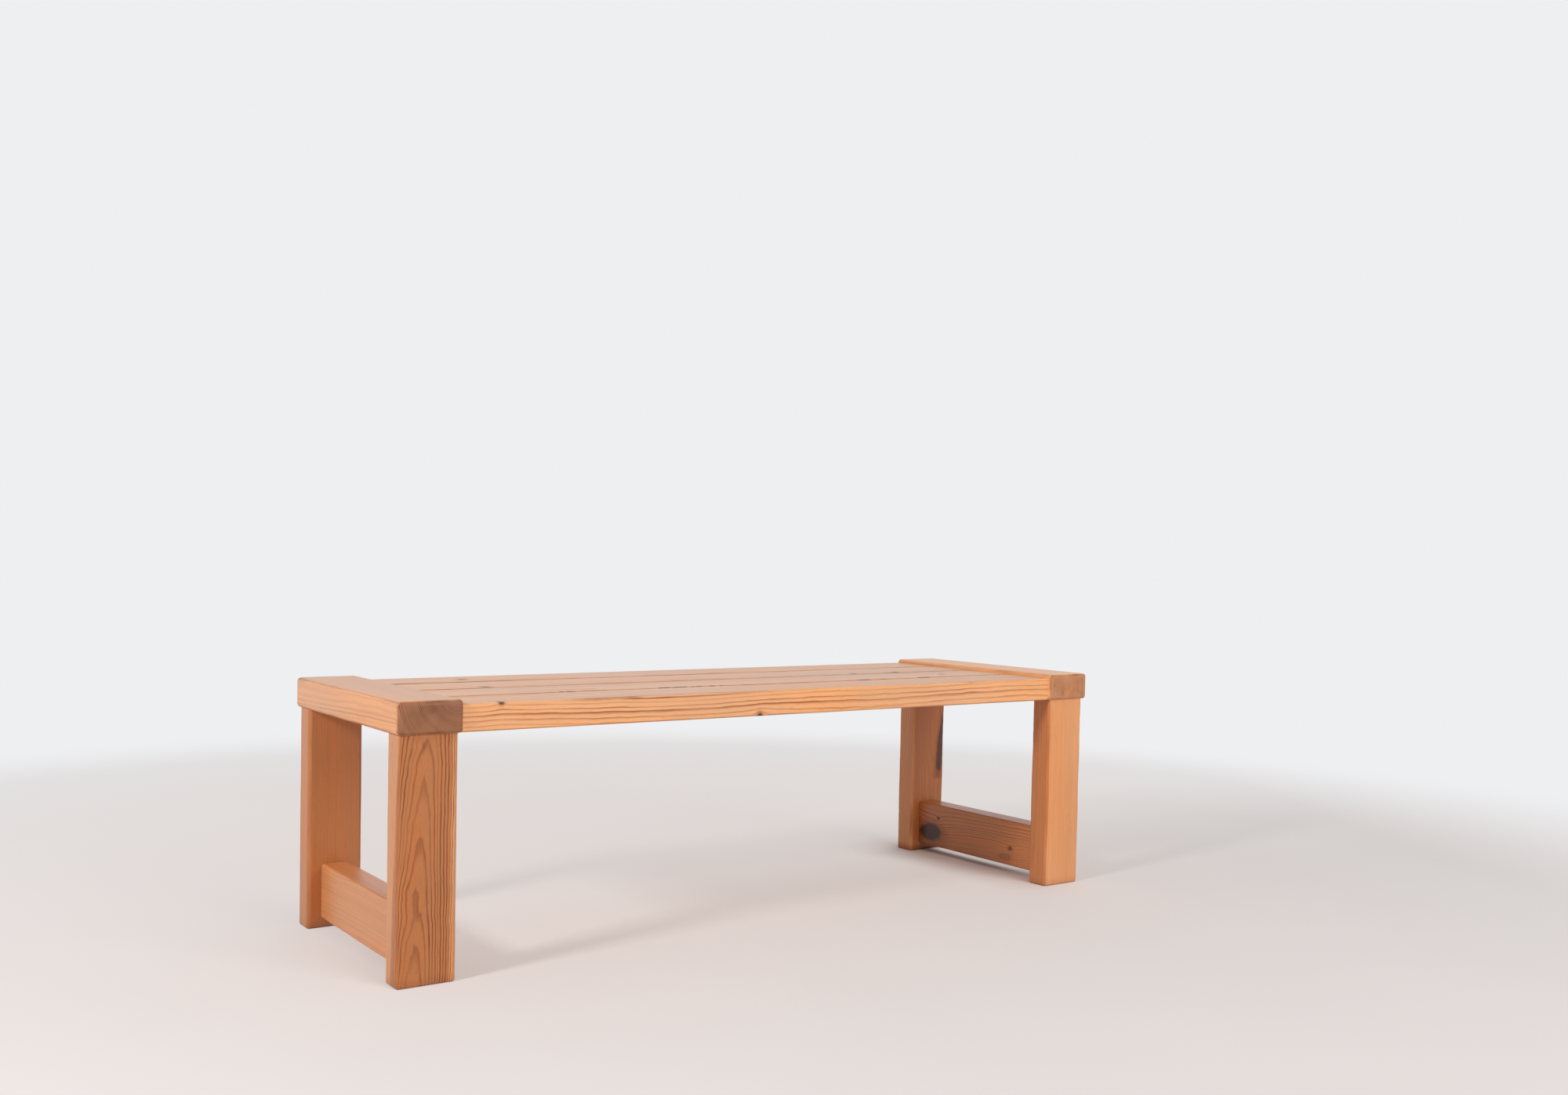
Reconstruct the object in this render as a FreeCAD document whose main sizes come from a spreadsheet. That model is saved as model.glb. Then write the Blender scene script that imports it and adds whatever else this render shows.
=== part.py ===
import FreeCAD
import Part
import Sketcher
import math
import os
import re

# Pine bench: four long slats lie between two end caps, and each cap stands on a pair of
# legs that a low stretcher ties together. Every joint is a butt joint with blind dowels.
# X runs along the seat, Y from front to rear, Z up; the origin is on the floor under the
# middle of the bench. All sizes are in millimetres.

SIZES = {
    "bench_length": 1400,
    "bench_depth": 450,
    "bench_height": 410,
    "cap_height": 49,
    "cap_side_overhang": 5,
    "cap_end_overhang": 6,
    "cap_round": 6,
    "leg_width": 90,
    "leg_thickness": 45,
    "leg_round": 6,
    "foot_round": 3,
    "stretcher_thickness": 45,
    "stretcher_height": 90,
    "stretcher_lift": 16,
    "stretcher_round": 4,
    "slat_count": 4,
    "slat_gap": 8,
    "slat_thickness": 42,
    "slat_recess": 7,
    "slat_inset": 6,
    "slat_round": 3,
    "leg_dowel_diameter": 12,
    "leg_dowel_length": 60,
    "stretcher_dowel_diameter": 10,
    "stretcher_dowel_length": 40,
    "stretcher_dowel_edge": 20,
    "slat_dowel_diameter": 10,
    "slat_dowel_length": 40,
    "slat_dowel_edge": 22,
    "dowel_chamfer": 1,
    "dowel_wall": 5,
    "bore_clearance": 0.1,
    "bore_end_room": 1,
}

# Sizes that follow from the driving ones. The cap covers the legs with an overhang all
# round, and the slats share the depth that is left between the insets and the gaps.
FORMULAS = {
    "cap_width": "leg_width + 2 * cap_side_overhang",
    "cap_middle": "bench_height - cap_height / 2",
    "leg_length": "bench_height - cap_height",
    "frame_offset": "(bench_length - cap_width) / 2",
    "leg_offset": "(bench_depth - leg_thickness) / 2 - cap_end_overhang",
    "stretcher_length": "2 * leg_offset - leg_thickness",
    "stretcher_middle": "stretcher_lift + stretcher_height / 2",
    "slat_length": "bench_length - 2 * cap_width",
    "slat_width": "(bench_depth - 2 * slat_inset - (slat_count - 1) * slat_gap) / slat_count",
    "slat_pitch": "slat_width + slat_gap",
    "slat_reach": "(slat_count - 1) * slat_pitch",
    "slat_middle": "bench_height - slat_recess - slat_thickness / 2",
    "slat_dowel_spacing": "slat_width - 2 * slat_dowel_edge",
    "stretcher_dowel_spacing": "stretcher_height - 2 * stretcher_dowel_edge",
    "slat_bore_depth": "slat_dowel_length / 2 + bore_end_room",
    "leg_bore_radius": "leg_dowel_diameter / 2 + bore_clearance",
    # The leg dowels keep a wall of wood between their bores and the slat bores.
    "leg_dowel_margin": "slat_bore_depth + dowel_wall + leg_bore_radius",
    "leg_dowel_spacing": "cap_width - 2 * leg_dowel_margin",
}

LEFT, RIGHT = -1, 1
FRONT, REAR = -1, 1

X_WAY = FreeCAD.Vector(1, 0, 0)
Y_WAY = FreeCAD.Vector(0, 1, 0)
Z_WAY = FreeCAD.Vector(0, 0, 1)

doc = FreeCAD.newDocument("pine_bench")
sheet = doc.addObject("Spreadsheet::Sheet", "sizes")
pieces = []


def fill_sheet():
    """Give every driving size its own row: name, value and alias."""
    for row, (name, value) in enumerate(SIZES.items(), start=1):
        sheet.set(f"A{row}", name)
        sheet.set(f"B{row}", str(value))
        sheet.setAlias(f"B{row}", name)
    doc.recompute()


def spelled_out(text):
    """Lead every size name in a formula back to the cells of the sheet."""
    def lead_back(match):
        word = match.group(0)
        if word in FORMULAS:
            return "(" + spelled_out(FORMULAS[word]) + ")"
        return "sizes." + word
    return re.sub(r"[a-z_]+", lead_back, text)


def bind(item, path, text):
    """Drive one property or named constraint from the sheet."""
    item.setExpression(path, spelled_out(text))


def origin_feature(body, role):
    """Plane or axis of the body's own origin."""
    return next(item for item in body.Origin.OriginFeatures if item.Role == role)


def new_body(label, turn=None):
    """Empty body for one piece, turned as the piece lies in the bench."""
    body = doc.addObject("PartDesign::Body", label)
    body.Label = label
    if turn:
        body.Placement = FreeCAD.Placement(FreeCAD.Vector(), turn)
    pieces.append(body)
    return body


def place(body, along, across, up):
    """Move the body's origin to its place in the bench."""
    bind(body, "Placement.Base.x", along)
    bind(body, "Placement.Base.y", across)
    bind(body, "Placement.Base.z", up)


def on_side(side, text):
    """The same distance to the other side of the middle when the side is negative."""
    return text if side > 0 else f"-({text})"


def new_sketch(body, name, plane, shift=("0", "0", "0")):
    """Sketch on an origin plane; shift is right, up and out of that plane."""
    sketch = body.newObject("Sketcher::SketchObject", name)
    sketch.AttachmentSupport = [(origin_feature(body, plane), "")]
    sketch.MapMode = "FlatFace"
    for axis, text in zip("xyz", shift):
        if text != "0":
            bind(sketch, f"AttachmentOffset.Base.{axis}", text)
    return sketch


def add_constraint(sketch, name, text, *parts):
    """Dimension of a sketch that follows a formula."""
    index = sketch.addConstraint(Sketcher.Constraint(*parts))
    sketch.renameConstraint(index, name)
    bind(sketch, f"Constraints.{name}", text)


def draw_rectangle(sketch, wide, high):
    """Rectangle centred on the sketch's origin."""
    corners = [FreeCAD.Vector(x, y, 0) for x, y in ((-9, -9), (9, -9), (9, 9), (-9, 9))]
    for index, corner in enumerate(corners):
        sketch.addGeometry(Part.LineSegment(corner, corners[(index + 1) % 4]), False)
    for index in range(4):
        sketch.addConstraint(Sketcher.Constraint("Coincident", index, 2, (index + 1) % 4, 1))
        level = "Horizontal" if index % 2 == 0 else "Vertical"
        sketch.addConstraint(Sketcher.Constraint(level, index))
    sketch.addConstraint(Sketcher.Constraint("Symmetric", 0, 1, 2, 1, -1, 1))
    add_constraint(sketch, "wide", wide, "DistanceX", 0, 1, 0, 2, 18)
    add_constraint(sketch, "high", high, "DistanceY", 1, 1, 1, 2, 18)


def edges_that(shape, test):
    """Names of the edges whose two ends pass the test."""
    names = []
    for index, edge in enumerate(shape.Edges, start=1):
        first, last = edge.Vertexes[0].Point, edge.Vertexes[-1].Point
        if test(first, last):
            names.append(f"Edge{index}")
    return names


def round_edges(body, name, base, radius, test):
    """Round the chosen edges of the stock."""
    fillet = body.newObject("PartDesign::Fillet", name)
    fillet.Base = (base, edges_that(base.Shape, test))
    bind(fillet, "Radius", radius)
    doc.recompute()
    return fillet


def saw_stock(body, plane, wide, high, long):
    """Timber blank: its section, run out the same length to both sides of the plane."""
    sketch = new_sketch(body, "section", plane)
    draw_rectangle(sketch, wide, high)
    blank = body.newObject("PartDesign::Pad", "blank")
    blank.Profile = sketch
    blank.SideType = "Symmetric"
    bind(blank, "Length", long)
    doc.recompute()
    return blank


def bore_pair(body, name, plane, shift, spacing, dowel, upright=False, reverse=False):
    """Two blind dowel bores, side by side or one above the other."""
    sketch = new_sketch(body, f"{name}_centres", plane, shift)
    way = Y_WAY if upright else X_WAY
    for side in (-1, 1):
        sketch.addGeometry(Part.Circle(way * side * 20, Z_WAY, 5), False)
    guide = -2 if upright else -1
    sketch.addConstraint(Sketcher.Constraint("PointOnObject", 0, 3, guide))
    sketch.addConstraint(Sketcher.Constraint("Symmetric", 0, 3, 1, 3, -1, 1))
    sketch.addConstraint(Sketcher.Constraint("Equal", 0, 1))
    distance = "DistanceY" if upright else "DistanceX"
    add_constraint(sketch, "spacing", spacing, distance, 0, 3, 1, 3, 40)
    bore = f"{dowel}_dowel_diameter + 2 * bore_clearance"
    add_constraint(sketch, "bore", bore, "Diameter", 0, 10)
    pocket = body.newObject("PartDesign::Pocket", f"{name}_bores")
    pocket.Profile = sketch
    pocket.Reversed = reverse
    bind(pocket, "Length", f"{dowel}_dowel_length / 2 + bore_end_room")
    doc.recompute()
    drilled = 2 * math.pi * sketch.Geometry[0].Radius ** 2 * pocket.Length.Value
    removed = pocket.BaseFeature.Shape.Volume - pocket.Shape.Volume
    if not math.isclose(removed, drilled, rel_tol=0.01):
        raise RuntimeError(f"{body.Label}: {name} bores miss the timber")
    return pocket


def mirror(body, name, feature, plane):
    """The same feature on the far side of an origin plane."""
    twin = body.newObject("PartDesign::Mirrored", name)
    twin.Originals = [feature]
    twin.MirrorPlane = (origin_feature(body, plane), [""])
    body.Tip = twin
    doc.recompute()
    return twin


def repeat(body, name, feature, axis, length, count, second=None):
    """Even row of a feature along an origin axis, or a grid with a second row."""
    row = body.newObject("PartDesign::LinearPattern", name)
    row.Originals = [feature]
    row.Direction = (origin_feature(body, axis), [""])
    bind(row, "Length", length)
    bind(row, "Occurrences", count)
    if second:
        second_axis, second_length = second
        row.Direction2 = (origin_feature(body, second_axis), [""])
        bind(row, "Length2", second_length)
        row.Occurrences2 = 2
    body.Tip = row
    doc.recompute()
    return row


def make_cap(label, side):
    """End cap: rounded on every edge, bored below for two legs and inside for the slats."""
    turn = None if side == LEFT else FreeCAD.Rotation(Z_WAY, 180)
    body = new_body(label, turn)
    blank = saw_stock(body, "XZ_Plane", "cap_width", "cap_height", "bench_depth")
    round_edges(body, "soft_edges", blank, "cap_round", lambda first, last: True)
    below = ("0", "-leg_offset", "-cap_height / 2")
    legs = bore_pair(body, "leg", "XY_Plane", below, "leg_dowel_spacing", "leg", reverse=True)
    mirror(body, "rear_leg_bores", legs, "XZ_Plane")
    inside = ("-slat_reach / 2", "slat_middle - cap_middle", "cap_width / 2")
    slats = bore_pair(body, "slat", "YZ_Plane", inside, "slat_dowel_spacing", "slat")
    repeat(body, "slat_bore_row", slats, "Y_Axis", "slat_reach", "slat_count")
    place(body, on_side(side, "frame_offset"), "0", "cap_middle")


def make_leg(label, side, end):
    """Leg: rounded uprights and foot, bored on top for the cap and inside for the stretcher."""
    turn = None if end == FRONT else FreeCAD.Rotation(Z_WAY, 180)
    body = new_body(label, turn)
    blank = saw_stock(body, "XY_Plane", "leg_width", "leg_thickness", "leg_length")
    stem = round_edges(body, "soft_edges", blank, "leg_round",
                       lambda first, last: abs(first.z - last.z) > 1)
    round_edges(body, "soft_foot", stem, "foot_round",
                lambda first, last: max(first.z, last.z) < 0)
    top = ("0", "0", "leg_length / 2")
    bore_pair(body, "cap", "XY_Plane", top, "leg_dowel_spacing", "leg")
    inside = ("0", "stretcher_middle - leg_length / 2", "-leg_thickness / 2")
    bore_pair(body, "stretcher", "XZ_Plane", inside, "stretcher_dowel_spacing", "stretcher",
              upright=True, reverse=True)
    place(body, on_side(side, "frame_offset"), on_side(end, "leg_offset"), "leg_length / 2")


def make_stretcher(label, side):
    """Stretcher: rounded along its length, bored in both ends."""
    body = new_body(label)
    blank = saw_stock(body, "XZ_Plane", "stretcher_thickness", "stretcher_height",
                      "stretcher_length")
    round_edges(body, "soft_edges", blank, "stretcher_round",
                lambda first, last: abs(first.y - last.y) > 1)
    rear_end = ("0", "0", "-stretcher_length / 2")
    bores = bore_pair(body, "rear", "XZ_Plane", rear_end, "stretcher_dowel_spacing", "stretcher",
                      upright=True, reverse=True)
    mirror(body, "front_bores", bores, "XZ_Plane")
    place(body, on_side(side, "frame_offset"), "0", "stretcher_middle")


def make_slat(label, number):
    """Seat slat: eased along its length, bored in both ends."""
    body = new_body(label)
    blank = saw_stock(body, "YZ_Plane", "slat_width", "slat_thickness", "slat_length")
    round_edges(body, "soft_edges", blank, "slat_round",
                lambda first, last: abs(first.x - last.x) > 1)
    right_end = ("0", "0", "slat_length / 2")
    bores = bore_pair(body, "right", "YZ_Plane", right_end, "slat_dowel_spacing", "slat")
    mirror(body, "left_bores", bores, "YZ_Plane")
    place(body, "0", f"{number} * slat_pitch - slat_reach / 2", "slat_middle")


def make_dowels(label, dowel, turn, spacing, far=None):
    """Pair of turned dowels side by side, and a second pair at the far end of a timber."""
    body = new_body(label, turn)
    sketch = new_sketch(body, "profile", "XZ_Plane")
    outline = [(0, -20), (4, -20), (5, -19), (5, 19), (4, 20), (0, 20)]
    corners = [FreeCAD.Vector(x, y, 0) for x, y in outline]
    last = len(corners) - 1
    for index, corner in enumerate(corners):
        follower = corners[0] if index == last else corners[index + 1]
        sketch.addGeometry(Part.LineSegment(corner, follower), False)
    for index in range(len(corners)):
        follower = 0 if index == last else index + 1
        sketch.addConstraint(Sketcher.Constraint("Coincident", index, 2, follower, 1))
    for index in (0, 4):
        sketch.addConstraint(Sketcher.Constraint("Horizontal", index))
    for index in (2, 5):
        sketch.addConstraint(Sketcher.Constraint("Vertical", index))
    sketch.addConstraint(Sketcher.Constraint("Symmetric", 5, 1, 5, 2, -1, 1))
    add_constraint(sketch, "long", f"{dowel}_dowel_length", "DistanceY", 0, 1, 5, 1, 40)
    add_constraint(sketch, "radius", f"{dowel}_dowel_diameter / 2", "DistanceX", 0, 1, 2, 1, 5)
    for name, line, way, start, end in (
        ("lower_side", 1, "DistanceX", 1, 2), ("lower_end", 1, "DistanceY", 1, 2),
        ("upper_side", 3, "DistanceX", 2, 1), ("upper_end", 3, "DistanceY", 1, 2),
    ):
        add_constraint(sketch, name, "dowel_chamfer", way, line, start, line, end, 1)
    pin = body.newObject("PartDesign::Revolution", "pin")
    pin.Profile = sketch
    pin.ReferenceAxis = (sketch, ["V_Axis"])
    pin.Angle = 360
    doc.recompute()
    row = repeat(body, "pins", pin, "X_Axis", spacing, "2", far)
    expected = 4 if far else 2
    if len(row.Shape.Solids) != expected:
        raise RuntimeError(f"{label}: dowels missing")
    return body


def make_leg_dowels(label, side, end):
    """Upright dowels between a leg and its cap."""
    body = make_dowels(label, "leg", None, "leg_dowel_spacing")
    start = f"{on_side(side, 'frame_offset')} - leg_dowel_spacing / 2"
    place(body, start, on_side(end, "leg_offset"), "leg_length")


def make_stretcher_dowels(label, side):
    """Dowels between a stretcher and its two legs, one above the other."""
    turn = FreeCAD.Rotation(Z_WAY, X_WAY, Y_WAY)
    body = make_dowels(label, "stretcher", turn, "stretcher_dowel_spacing",
                       ("Z_Axis", "stretcher_length"))
    place(body, on_side(side, "frame_offset"), "-stretcher_length / 2",
          "stretcher_middle - stretcher_dowel_spacing / 2")


def make_slat_dowels(label, number):
    """Dowels between a slat and the two caps, side by side."""
    turn = FreeCAD.Rotation(Y_WAY, Z_WAY, X_WAY)
    body = make_dowels(label, "slat", turn, "slat_dowel_spacing", ("Z_Axis", "slat_length"))
    centre = f"{number} * slat_pitch - slat_reach / 2"
    place(body, "-slat_length / 2", f"{centre} - slat_dowel_spacing / 2", "slat_middle")


def make_bench():
    """Two end frames and the slats between them."""
    for side, side_word in ((LEFT, "left"), (RIGHT, "right")):
        make_cap(f"{side_word}_cap", side)
        make_stretcher(f"{side_word}_stretcher", side)
        make_stretcher_dowels(f"{side_word}_stretcher_dowels", side)
        for end, end_word in ((FRONT, "front"), (REAR, "rear")):
            make_leg(f"{end_word}_{side_word}_leg", side, end)
            make_leg_dowels(f"{end_word}_{side_word}_leg_dowels", side, end)
    for number in range(int(sheet.slat_count)):
        make_slat(f"slat_{number + 1}", number)
        make_slat_dowels(f"slat_{number + 1}_dowels", number)
    doc.recompute()


def check_bench():
    """Stop before anything is written if a feature failed or a shape is unsound."""
    for item in doc.Objects:
        if "Invalid" in item.State or "Error" in item.State:
            raise RuntimeError(f"{item.Label} did not compute")
    for body in pieces:
        if body.Shape.isNull() or not body.Shape.isValid() or not body.Shape.Solids:
            raise RuntimeError(f"{body.Label} is not a sound solid")


def write_pieces():
    """One file for each piece, named after its label."""
    os.makedirs("parts", exist_ok=True)
    for body in pieces:
        body.Shape.exportStep(f"parts/{body.Label}.step")


fill_sheet()
make_bench()
check_bench()
write_pieces()
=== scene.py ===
import math
from typing import NamedTuple

import bpy
from bpy.props import FloatProperty, FloatVectorProperty, PointerProperty
from mathutils import Matrix, Vector


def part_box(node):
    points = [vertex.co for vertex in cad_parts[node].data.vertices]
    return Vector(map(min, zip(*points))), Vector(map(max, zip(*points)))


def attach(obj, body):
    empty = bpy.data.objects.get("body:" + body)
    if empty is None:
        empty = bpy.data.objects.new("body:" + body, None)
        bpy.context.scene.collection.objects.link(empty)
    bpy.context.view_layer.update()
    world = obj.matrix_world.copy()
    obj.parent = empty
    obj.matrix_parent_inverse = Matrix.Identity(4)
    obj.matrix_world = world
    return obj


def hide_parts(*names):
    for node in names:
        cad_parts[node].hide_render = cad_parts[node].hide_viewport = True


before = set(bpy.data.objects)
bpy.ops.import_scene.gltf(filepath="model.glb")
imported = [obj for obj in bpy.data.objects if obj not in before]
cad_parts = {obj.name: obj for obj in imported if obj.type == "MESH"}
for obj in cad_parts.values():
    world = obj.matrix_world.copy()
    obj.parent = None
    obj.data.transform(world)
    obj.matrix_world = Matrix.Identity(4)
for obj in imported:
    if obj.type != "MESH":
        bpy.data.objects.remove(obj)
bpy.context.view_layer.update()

bl_info = {
    "name": "Pine Bench",
    "version": (1, 0, 0),
    "blender": (4, 5, 0),
    "location": "3D View > Sidebar > Pine Bench",
    "description": "Slatted pine bench with grown wood, on a plain studio floor",
    "category": "Object",
}

MILLIMETRE = 0.001


class Knot(NamedTuple):
    """Branch in a timber: the point in metres where it comes out, its radius there in
    millimetres, the way it grew, how deep it goes in millimetres, and how dark it is."""
    at: tuple
    radius: float
    way: tuple
    depth: float = 80.0
    dark: float = 0.9


class EdgeDashes(NamedTuple):
    """Dark marks on an upper front edge: where they start and end along the length and
    how far apart they are, in metres."""
    start: float
    end: float
    pitch: float


class Board(NamedTuple):
    """How a timber lay in its log, and how its wood looks.

    heart: middle of the log in millimetres, from the timber's middle along its cross directions
    lean: turn of the grain in degrees
    ring: width of a year ring in millimetres
    wander, wave: how far the rings stray over long and short lengths, in millimetres
    lines, late: strength of each year's dark line, and the share of the year where it starts
    tone, red: brightness, and the least share of heartwood colour
    sap: radius in millimetres inside which all wood is heartwood
    end, soil: how far end grain darkens, and how much dirt the edges hold and how dark a leg gets towards
    its foot
    """
    heart: tuple
    lean: tuple = (0.4, 0.3)
    ring: float = 3.4
    wander: float = 8.0
    wave: float = 2.0
    lines: float = 0.8
    late: float = 0.46
    tone: float = 1.0
    red: float = 0.1
    sap: float = 0.0
    end: float = 1.0
    soil: float = 0.3
    knots: tuple = ()
    dash_runs: tuple = ()


BOARDS = {
    "slat_1": Board(
        heart=(40, -52), lean=(0.6, -0.2), ring=4.4, wander=7.0, wave=1.8, lines=1.9, tone=1.02,
        knots=(Knot((-0.539, -0.2185, 0.4030), 3.9, (0.1, -1.0, 0.4), dark=0.85),
               Knot((-0.075, -0.2185, 0.3590), 5.0, (0.2, -0.7, -0.7), 24.0)),
    ),
    "slat_2": Board(
        heart=(-26, -52), lean=(-0.3, 0.2), ring=4.2, wave=1.8, lines=1.5, tone=1.03, red=0.12,
        knots=(Knot((0.470, -0.060, 0.403), 6.0, (0.4, 0.2, 1.0)),),
        dash_runs=(EdgeDashes(-0.384, -0.362, 0.007), EdgeDashes(-0.209, -0.079, 0.009),
                EdgeDashes(0.225, 0.283, 0.026), EdgeDashes(0.372, 0.392, 0.014)),
    ),
    "slat_3": Board(
        heart=(24, -50), lean=(0.2, 0.3), ring=3.8, wave=1.8, lines=1.5, tone=1.03, red=0.12,
        knots=(Knot((-0.460, 0.016, 0.403), 6.0, (0.8, -0.3, 1.0)),
               Knot((0.306, 0.014, 0.403), 5.0, (0.8, -0.2, 1.0)),
               Knot((0.411, 0.012, 0.403), 5.0, (0.8, -0.2, 1.0))),
    ),
    "slat_4": Board(
        heart=(-36, -38), lean=(-0.2, -0.3), ring=4.0, wave=1.8, lines=1.5, tone=1.03,
        knots=(Knot((-0.436, 0.162, 0.403), 7.0, (0.6, 0.3, 1.0)),
               Knot((0.150, 0.219, 0.385), 7.0, (0.3, 1.0, 0.3), 40.0),
               Knot((-0.250, 0.219, 0.376), 5.0, (0.3, 1.0, 0.3), 40.0)),
    ),
    "left_cap": Board(
        heart=(28, 46), lean=(0.5, 1.6), ring=2.5, wave=1.4, lines=1.0, late=0.35, red=0.30,
        soil=0.6,
    ),
    "right_cap": Board(
        heart=(4, -104), lean=(0.4, -0.3), ring=2.8, wave=1.2, lines=0.65, tone=1.12, sap=55.0,
        end=0.78, soil=0.9,
    ),
    "front_left_leg": Board(
        heart=(-15, -64), lean=(-2.6, -2.2), ring=2.9, wander=7.0, wave=4.0, lines=2.3, late=0.50,
        tone=0.93, red=0.38, sap=66.0,
    ),
    "rear_left_leg": Board(
        heart=(-78, 12), lean=(0.2, 0.3), ring=2.8, wave=1.2, lines=0.42, red=0.85,
    ),
    "front_right_leg": Board(
        heart=(-94, 14), lean=(0.2, 0.2), ring=3.2, wave=1.2, lines=0.5, tone=1.12, red=0.48,
        sap=65.0,
    ),
    "rear_right_leg": Board(
        heart=(10, -60), lean=(0.6, 0.4), wave=1.6, tone=1.10, red=0.5, sap=66.0, soil=0.9,
        knots=(Knot((0.688, 0.174, 0.232), 11.0, (0.155, 0.165, 1.0), dark=0.8),),
    ),
    "left_stretcher": Board(
        heart=(-60, 70), lean=(0.3, 0.4), ring=2.8, wave=1.6, lines=0.65, tone=1.12, red=0.68,
    ),
    "right_stretcher": Board(
        heart=(84, 44), lean=(0.3, 0.3), ring=4.0, wander=5.0, lines=0.95, tone=1.03, red=0.85,
        knots=(Knot((0.6275, 0.136, 0.047), 16.0, (-1.0, -1.6, 0.1), dark=1.0),
               Knot((0.6275, 0.112, 0.078), 3.0, (-1.0, -0.8, 0.1), 20.0, 0.8),
               Knot((0.6275, -0.101, 0.051), 3.5, (-1.0, -0.9, 0.1), 20.0, 0.75),
               Knot((0.6275, -0.088, 0.032), 6.5, (-1.0, -2.2, 0.1), 30.0, 0.28)),
    ),
}

# Rows say which way each cross direction and the length of a timber run in the bench.
RUNS = {
    "X": Matrix(((0, 1, 0), (0, 0, 1), (1, 0, 0))),
    "Y": Matrix(((0, 0, 1), (1, 0, 0), (0, 1, 0))),
    "Z": Matrix.Identity(3),
}


class BenchSizes(bpy.types.PropertyGroup):
    """Edges and mesh of the timbers"""
    cap_radius: FloatProperty(
        name="Cap Edge", description="Radius on every edge of the end caps",
        default=0.006, min=0.0005, subtype="DISTANCE", unit="LENGTH")
    leg_radius: FloatProperty(
        name="Leg Edge", description="Radius on the upright edges of the legs",
        default=0.006, min=0.0005, subtype="DISTANCE", unit="LENGTH")
    foot_radius: FloatProperty(
        name="Foot Edge", description="Radius round the foot of each leg",
        default=0.003, min=0.0003, subtype="DISTANCE", unit="LENGTH")
    stretcher_radius: FloatProperty(
        name="Stretcher Edge", description="Radius on the long edges of the stretchers",
        default=0.004, min=0.0005, subtype="DISTANCE", unit="LENGTH")
    slat_radius: FloatProperty(
        name="Slat Edge", description="Radius on the long edges of the slats",
        default=0.003, min=0.0005, subtype="DISTANCE", unit="LENGTH")
    butt_radius: FloatProperty(
        name="Stretcher End", description="Easing of a stretcher's end against the leg",
        default=0.0012, min=0.0001, subtype="DISTANCE", unit="LENGTH")
    saw_radius: FloatProperty(
        name="Sawn End", description="Easing of an end that butts against another timber",
        default=0.0003, min=0.0001, subtype="DISTANCE", unit="LENGTH")
    wear: FloatProperty(
        name="Wear", description="Depth that use has taken off the edges",
        default=0.0007, min=0.0, subtype="DISTANCE", unit="LENGTH")
    step: FloatProperty(
        name="Mesh Step", description="Spacing of the mesh along a timber",
        default=0.006, min=0.002, subtype="DISTANCE", unit="LENGTH")


class PineFinish(bpy.types.PropertyGroup):
    """Colours of the wood under its clear finish"""
    early_wood: FloatVectorProperty(
        name="Early Wood", description="Pale part of each year ring",
        default=(0.83, 0.405, 0.180), min=0.0, max=1.0, subtype="COLOR")
    late_wood: FloatVectorProperty(
        name="Late Wood", description="Dark line that closes each year ring",
        default=(0.36, 0.115, 0.032), min=0.0, max=1.0, subtype="COLOR")
    heart_tint: FloatVectorProperty(
        name="Heart Tint", description="Tint of the wood near the heart of the log",
        default=(0.53, 0.35, 0.20), min=0.0, max=1.0, subtype="COLOR")
    # Partly painted sheen: the end tint is raised, most in blue, to stand in for the front lamp's
    # reflection, which glossy rays don't see.
    end_tint_and_sheen: FloatVectorProperty(
        name="End Tint And Sheen", description="Tint of end grain, which drinks more finish",
        default=(0.455, 0.41, 0.435), min=0.0, max=1.0, subtype="COLOR")
    knot_wood: FloatVectorProperty(
        name="Knot Wood", description="Wood inside a knot",
        default=(0.026, 0.012, 0.012), min=0.0, max=1.0, subtype="COLOR")
    dowel_wood: FloatVectorProperty(
        name="Dowel Wood", description="Beech of the dowels",
        default=(0.60, 0.41, 0.26), min=0.0, max=1.0, subtype="COLOR")


class StudioLook(bpy.types.PropertyGroup):
    """Colours and light of the studio"""
    floor: FloatVectorProperty(
        name="Floor", description="Colour of the studio floor",
        default=(0.81, 0.755, 0.735), min=0.0, max=1.0, subtype="COLOR")
    floor_glow: FloatVectorProperty(
        name="Floor Glow", description="Colour of the studio's bounce on the floor",
        default=(0.83, 0.775, 0.755), min=0.0, max=1.0, subtype="COLOR")
    backdrop: FloatVectorProperty(
        name="Backdrop", description="Colour behind the floor",
        default=(0.86, 0.865, 0.88), min=0.0, max=1.0, subtype="COLOR")
    key: FloatProperty(
        name="Key Light", description="Power of the large lamp on the left",
        default=68.0, min=0.0, subtype="POWER", unit="POWER")
    fill: FloatProperty(
        name="Fill Light", description="Power of the large lamp in front",
        default=170.0, min=0.0, subtype="POWER", unit="POWER")
    sky: FloatProperty(
        name="Even Light", description="Strength of the even light from all round",
        default=0.36, min=0.0, max=2.0, subtype="FACTOR")


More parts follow.
